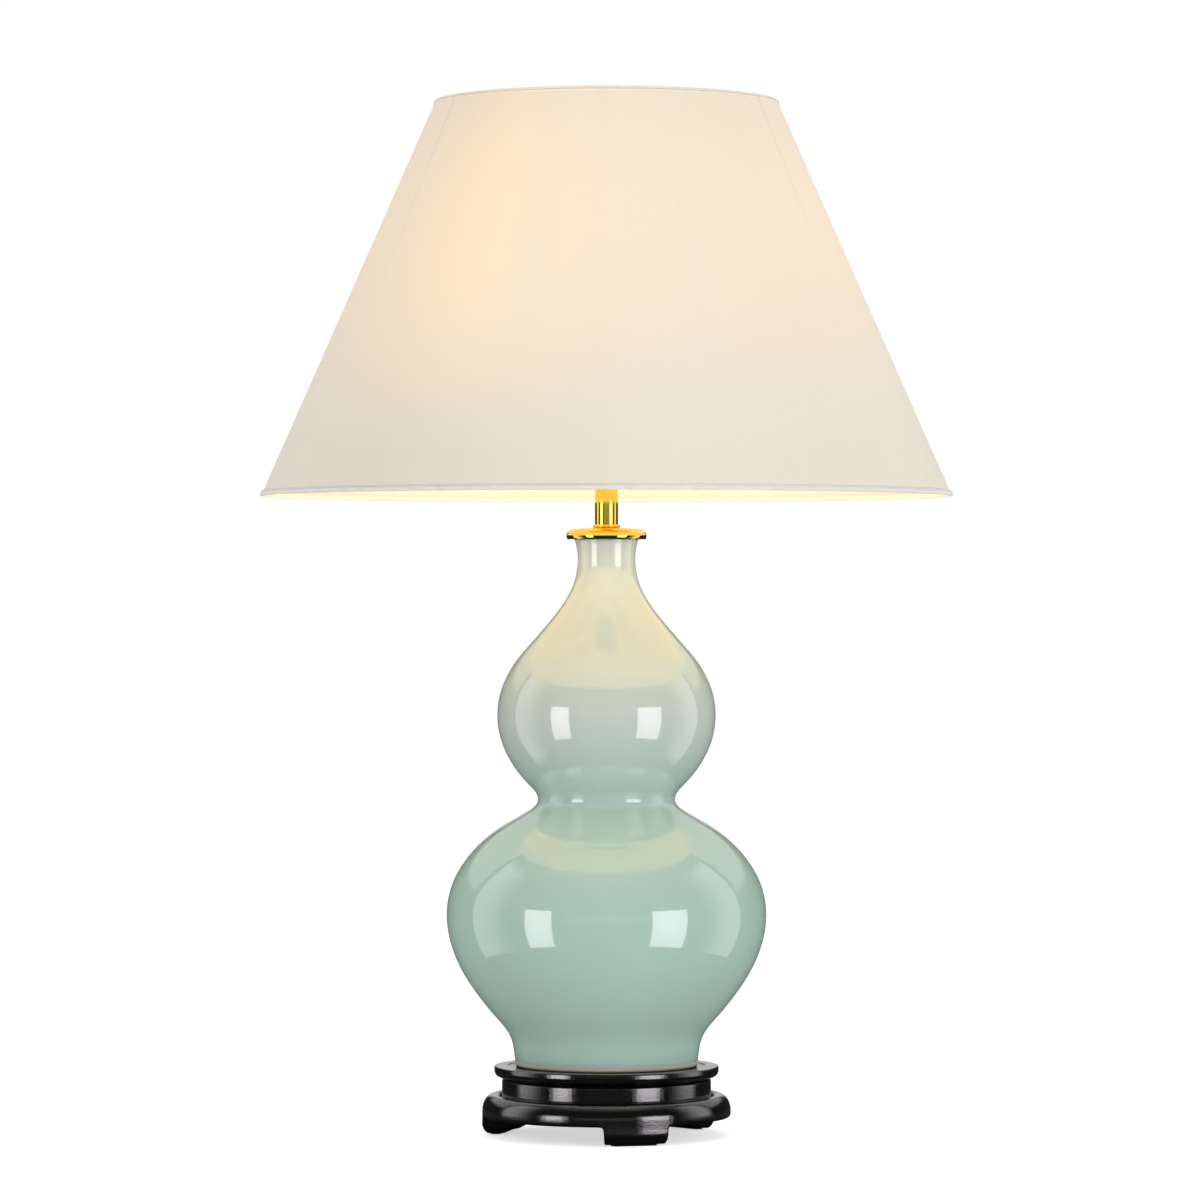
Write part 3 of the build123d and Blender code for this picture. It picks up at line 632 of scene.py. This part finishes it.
# ---- Vase
def throw_vase():
    """The glazed vase, turned from the CAD outline, with its foot ring."""
    outline = outer_outline("vase")
    low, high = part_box("vase")
    foot = [p for p in outline if p[1] < low.z + foot_edge_height]
    body = smoothed([p for p in outline if p[1] >= low.z + foot_edge_height])
    inside = foot[-1][0] - foot_ring_width
    under = [(inside, low.z + foot_recess), (inside, low.z + foot_chamfer),
             (inside + foot_chamfer, low.z)]
    rim = [(body[-1][0] - mouth_lip, high.z)]
    mesh = lathe_mesh("vase_glazed", under + foot + body + rim, wide_turns)
    add_object("vase_glazed", mesh, "celadon_glaze", "lamp_base", "vase")


# ---- Brass
def turn_brass():
    """The cap, collet and stem, turned finely from the CAD outlines."""
    for node in ("vase_cap", "stem_collet", "stem_tube"):
        fine = resampled(outer_outline(node), tube_step if node == "stem_tube" else brass_step)
        section = [(brass_bore, fine[0][1]), *fine, (brass_bore, fine[-1][1])]
        mesh = lathe_mesh(node + "_polished", section, brass_turns)
        add_object(node + "_polished", mesh, "polished_brass", "lamp_base", node)
        mesh.set_sharp_from_angle(angle=radians(brass_sharp_angle))


def resampled(outline, step):
    """The same outline with extra points, about a step apart where its own are further apart."""
    fine = [outline[0]]
    for first, second in zip(outline, outline[1:]):
        length = hypot(second[0] - first[0], second[1] - first[1])
        parts = max(1, int(length / step))
        for k in range(1, parts + 1):
            t = k / parts
            fine.append(tuple(a + (b - a) * t for a, b in zip(first, second)))
    return fine


# ---- Lampholder and bulb
def threaded(name, node, slot, body, pitch):
    """A turned shell with a helical thread over its straight length."""
    outline = resampled(outer_outline(node), pitch / thread_rows)
    low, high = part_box(node)

    def shift(radius, height, turn):
        fade = min(1.0, max(0.0, (height - low.z - thread_clear_below) / pitch),
                   max(0.0, (high.z - thread_clear_above - height) / pitch))
        wave = 0.5 - 0.5 * cos(2 * pi * (height / pitch - turn))
        return radius - thread_depth * fade * wave

    inner = outline[-1][0] - shell_wall
    section = [*outline, (inner, high.z), (inner, low.z)]
    mesh = lathe_mesh(name, section, thread_turns, closed=True, shift=shift)
    mesh.set_sharp_from_angle(angle=radians(thread_sharp_angle))
    add_object(name, mesh, slot, body, node)


def make_bulb():
    """The pearl glass bulb on its threaded cap. Its glass casts no shadow: the light is inside."""
    outline = smoothed(outer_outline("bulb_glass"), bulb_outline_step, bulb_outline_softness)
    outline[-1] = (bulb_crown_radius, outline[-1][1])
    mesh = lathe_mesh("bulb_glass_pearl", outline, bulb_turns)
    glass = add_object("bulb_glass_pearl", mesh, "bulb_glass", "bulb", "bulb_glass")
    glass.visible_shadow = False
    threaded("bulb_screw_threaded", "bulb_screw", "bulb_metal", "bulb", bulb_thread_pitch)


# ---- Shade
def wire_centre(hoop):
    """The centre of a hoop's wire, as (radius, height)."""
    low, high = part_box(hoop)
    return Vector((high.x - (high.z - low.z) / 2, (low.z + high.z) / 2))


def shade_line():
    """The centres of the bottom and top wires, and the directions up the slant and outwards."""
    bottom, top = wire_centre("bottom_wire_hoop"), wire_centre("top_wire_hoop")
    slant = (top - bottom).normalized()
    return bottom, top, slant, Vector((slant.y, -slant.x))


def stretch_shade():
    """The linen stretched between the two hoops as one sheet, with its glued seam at the back."""
    bottom, top, slant, outward = shade_line()
    start = bottom + slant * hem_bead_radius + outward * hem_cloth
    end = top - slant * top_bead_radius + outward * hem_cloth
    outline = [tuple(start.lerp(end, k / sheet_rows)) for k in range(sheet_rows + 1)]
    mesh = lathe_mesh("shade_linen", outline, wide_turns)
    sheet = add_object("shade_linen", mesh, "linen", "shade", "shade_fabric", "shade_liner")
    lap_seam(start, end, outward)


def lap_seam(start, end, outward):
    """The lapped edge of the linen at the back: a second thickness with rounded edges."""
    verts, faces, layout = [], [], []
    for k in range(seam_rows + 1):
        radius, height = start.lerp(end, k / seam_rows) + outward * seam_height * 0.5
        for column in range(seam_columns + 1):
            across = (column / seam_columns - 0.5) * seam_width
            lift = seam_height * (1 - abs(2 * column / seam_columns - 1) ** 4)
            angle = pi + across / radius
            verts.append(((radius + lift) * sin(angle), -(radius + lift) * cos(angle), height))
            layout.append((across, height))
    for k in range(seam_rows):
        for column in range(seam_columns):
            first = k * (seam_columns + 1) + column
            above = first + seam_columns + 1
            faces.append((first, first + 1, above + 1, above))
    mesh = bpy.data.meshes.new("shade_seam")
    mesh.from_pydata(verts, [], faces)
    uv = mesh.uv_layers.new(name="flat")
    for loop in mesh.loops:
        uv.data[loop.index].uv = layout[loop.vertex_index]
    shade_smooth(mesh)
    add_object("shade_seam", mesh, "linen_hem", "shade")


def bead_outline(centre, direction, outward, radius):
    """The section of a rolled hem: a bead round the wire that runs out smoothly onto the linen."""
    ring = []
    for k in range(bead_points):
        angle = radians(15 + 300 * k / (bead_points - 1))
        ring.append(centre + radius * (cos(angle) * direction - sin(angle) * outward))
    rise = radius - hem_cloth
    for out, along in (
        (radius * 0.93, radius * 0.55),
        (hem_cloth + 0.45 * rise, radius + 0.3 * hem_fillet),
        (hem_cloth + 0.12 * rise, radius + 0.7 * hem_fillet),
        (hem_cloth, radius + hem_fillet),
    ):
        ring.append(centre + outward * out + direction * along)
    return ring


def wound_outwards(ring):
    """The closed outline in the order that makes the faces turned from it point outwards."""
    area = sum(a.x * b.y - b.x * a.y for a, b in zip(ring, ring[1:] + ring[:1]))
    return [tuple(point) for point in (ring if area > 0 else ring[::-1])]


def roll_hems():
    """The rolled hems round both hoops: a bead, and a tail of cloth turned in behind the linen."""
    bottom, top, slant, outward = shade_line()
    for name, node, centre, radius, direction in (
        ("bottom_hem_rolled", "bottom_hem", bottom, hem_bead_radius, slant),
        ("top_hem_rolled", "top_hem", top, top_bead_radius, -slant),
    ):
        ring = bead_outline(centre, direction, outward, radius)
        bead = lathe_mesh(name, wound_outwards(ring), wide_turns, closed=True)
        add_object(name, bead, "linen_hem", "shade", node)
        inner = centre - outward * 0.5 * hem_cloth
        corners = ((radius * 0.9, 0.0), (radius * 0.9, hem_cloth),
                   (hem_tail - hem_cloth, hem_cloth), (hem_tail, 0.0))
        strip = [inner + direction * along - outward * depth for along, depth in corners]
        tail = lathe_mesh(name + "_tail", wound_outwards(strip), wide_turns, closed=True)
        add_object(name + "_tail", tail, "linen_hem", "shade")


# ---- Everything that keeps its CAD shape
def dress_nodes():
    """Smooth copies of the rigid nodes that show as they are, and a finish on every node."""
    smooth = {
        "shade_ring_lower": "height_ring", "shade_ring_upper": "clamp_ring",
        "carrier_ring": "shade", "arms": "shade", "top_wire_hoop": "shade",
        "bottom_wire_hoop": "shade",
        "holder_cap": "lamp_base", "jam_nut": "lamp_base", "base_nut": "lamp_base",
        "base_washer": "lamp_base", "lock_washer": "lamp_base", "cable_bushing": "lamp_base",
        "holder_core": "lamp_base", "screw_socket": "lamp_base", "switch_bar": "switch",
        "threaded_rod": "lamp_base", "foot_pads": "lamp_base",
    }
    slots = node_slots()
    for node, body in smooth.items():
        smooth_copy(node + "_eased", node, slots[node], body)
    for node, piece in NODES.items():
        piece.data.materials.clear()
        piece.data.materials.append(FINISHES[slots[node]])


def node_slots():
    """The material slot of every CAD node, from the record."""
    return {part["node"]: part["material_slot"] for part in frame["record"]["subparts"]}


# ---- Stage, light and camera
def aim(thing, target):
    """Turns a light or camera to look at a point."""
    thing.rotation_euler = (Vector(target) - thing.location).to_track_quat("-Z", "Y").to_euler()


def unseen_light(name, kind, location, power):
    """A light that falls on surfaces and isn't mirrored in them; returns its object."""
    light = bpy.data.lights.new(name, kind)
    light.energy = power
    lamp = linked(name, light)
    lamp.location = location
    lamp.visible_camera = False
    lamp.visible_glossy = False
    return lamp


def area_light(name, location, size, power):
    """A soft rectangular light that faces the lamp."""
    lamp = unseen_light(name, "AREA", location, power)
    lamp.data.shape = "RECTANGLE"
    lamp.data.size, lamp.data.size_y = size
    aim(lamp, light_target)


def light_bulb():
    """The bulb's own light, inside its glass."""
    centre = (0, 0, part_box("bulb_glass")[1].z - bulb_light_drop)
    lamp = unseen_light("bulb_light", "POINT", centre, bulb_power)
    lamp.data.color = lamp_light
    lamp.data.shadow_soft_size = bulb_light_radius


def mirrored_studio(tree, turn, rise):
    """The brightness of the studio where it is mirrored, and the share of it that is a softbox."""
    aside = calc(tree, "ABSOLUTE", turn)
    boxes = None
    for start, end, middle in softboxes:
        box = calc(tree, "MULTIPLY", window(tree, turn, start, end, softbox_edge),
                   window(tree, rise, *softbox_rises, softbox_edge))
        hot = calc(tree, "MULTIPLY", bell(tree, turn, middle, softbox_core_width),
                   bell(tree, rise, 0.0, softbox_core_height))
        level = calc(tree, "ADD", softbox_rim, calc(tree, "MULTIPLY", hot, softbox_core))
        box = calc(tree, "MULTIPLY", box, level)
        boxes = calc(tree, "ADD", boxes, box) if boxes else box
    panels = calc(tree, "MULTIPLY", ramp(tree, aside, *panel_turns),
                  ramp(tree, aside, *panel_edge, 1.0, 0.0))
    panels = calc(tree, "MULTIPLY", panels, window(tree, rise, *panel_rises, panel_rise_edge))
    raised = calc(tree, "MULTIPLY", ramp(tree, aside, *raised_turns),
                  ramp(tree, rise, *raised_rises))
    behind = calc(tree, "MAXIMUM", ramp(tree, aside, *behind_turns), raised)
    above = ramp(tree, rise, *above_rises, 0.0, above_share)
    front = calc(tree, "MULTIPLY", ramp(tree, aside, *front_turns, 1.0, 0.0),
                 window(tree, rise, *front_rises, front_edge))
    total = calc(tree, "MULTIPLY", boxes, softbox_strength)
    for part, strength in ((panels, panel_strength), (behind, behind_strength),
                           (above, above_strength), (front, front_strength)):
        total = calc(tree, "ADD", total, calc(tree, "MULTIPLY", part, strength))
    return calc(tree, "ADD", total, mirrored_base), boxes


def studio_world():
    """White for the camera, an even soft light, and a studio of softboxes and panels in mirrors."""
    world = bpy.data.worlds.new("studio")
    bpy.context.scene.world = world
    world.use_nodes = True
    tree = world.node_tree
    background = tree.nodes["Background"]
    rays = tree.nodes.new("ShaderNodeLightPath").outputs
    coordinates = tree.nodes.new("ShaderNodeTexCoord")
    x, y, z = split(tree, coordinates.outputs["Generated"])
    rise = calc(tree, "DEGREES", calc(tree, "ARCSINE", z))
    mirrored, boxes = mirrored_studio(tree, heading(tree, x, y), rise)
    level = either(tree, rays["Is Glossy Ray"], mirrored, soft_level)
    seen = calc(tree, "MAXIMUM", rays["Is Camera Ray"], rays["Is Transmission Ray"])
    tree.links.new(either(tree, seen, 1.0, level), background.inputs["Strength"])
    tint = calc(tree, "MULTIPLY", boxes, rays["Is Glossy Ray"])
    tree.links.new(mixed(tree, tint, white, mirrored_tint), background.inputs["Color"])


def lay_floor():
    """A plain pale floor that keeps the lamp's shadow and isn't mirrored."""
    reach = floor_half_width
    corners = [(-reach, -reach, 0), (reach, -reach, 0), (reach, reach, 0), (-reach, reach, 0)]
    mesh = bpy.data.meshes.new("floor")
    mesh.from_pydata(corners, [], [(0, 1, 2, 3)])
    floor = linked("floor", mesh)
    material, tree, shader = new_material("floor_white", floor_white, 0.9)
    shader.inputs["Specular IOR Level"].default_value = 0.0
    shader.inputs["Emission Color"].default_value = (1, 1, 1, 1)
    rays = tree.nodes.new("ShaderNodeLightPath")
    tree.links.new(calc(tree, "MULTIPLY", rays.outputs["Is Camera Ray"], floor_glow),
                   shader.inputs["Emission Strength"])
    clear = tree.nodes.new("ShaderNodeBsdfTransparent")
    mix = tree.nodes.new("ShaderNodeMixShader")
    tree.links.new(rays.outputs["Is Glossy Ray"], mix.inputs["Fac"])
    tree.links.new(shader.outputs[0], mix.inputs[1])
    tree.links.new(clear.outputs[0], mix.inputs[2])
    tree.links.new(mix.outputs[0], tree.nodes["Material Output"].inputs["Surface"])
    mesh.materials.append(material)


def lay_card():
    """A dark card under the lamp, only for reflections, as a photographer lays one."""
    mesh = bpy.data.meshes.new("card")
    build = bmesh.new()
    bmesh.ops.create_circle(build, cap_ends=True, segments=card_sides, radius=card_radius)
    build.to_mesh(mesh)
    build.free()
    card = linked("card", mesh)
    card.location = (0, 0, card_height)
    card.visible_camera = False
    card.visible_diffuse = False
    card.visible_shadow = False
    card.visible_transmission = False
    mesh.materials.append(new_material("card_dark", card_black, 0.9)[0])


def set_camera():
    """A long lens at the lamp's mid height, level, almost four metres away."""
    camera = linked("camera", bpy.data.cameras.new("camera"))
    camera.data.lens = camera_lens
    camera.data.sensor_width = camera_sensor
    camera.location = camera_place
    camera.rotation_euler = (radians(90), 0, 0)
    bpy.context.scene.camera = camera


FINISHES = make_materials()
carve_stand()
throw_vase()
turn_brass()
threaded("holder_skirt_threaded", "holder_skirt", "black_plastic", "lamp_base", holder_thread_pitch)
make_bulb()
stretch_shade()
roll_hems()
dress_nodes()
lay_floor()
lay_card()
studio_world()
area_light("key_right", key_right, key_size, key_right_power)
area_light("key_left", key_left, key_size, key_left_power)
area_light("fill_right", fill_right, fill_size, fill_power)
area_light("fill_left", fill_left, fill_size, fill_power)
light_bulb()
set_camera()
bpy.context.scene.view_settings.view_transform = "Standard"
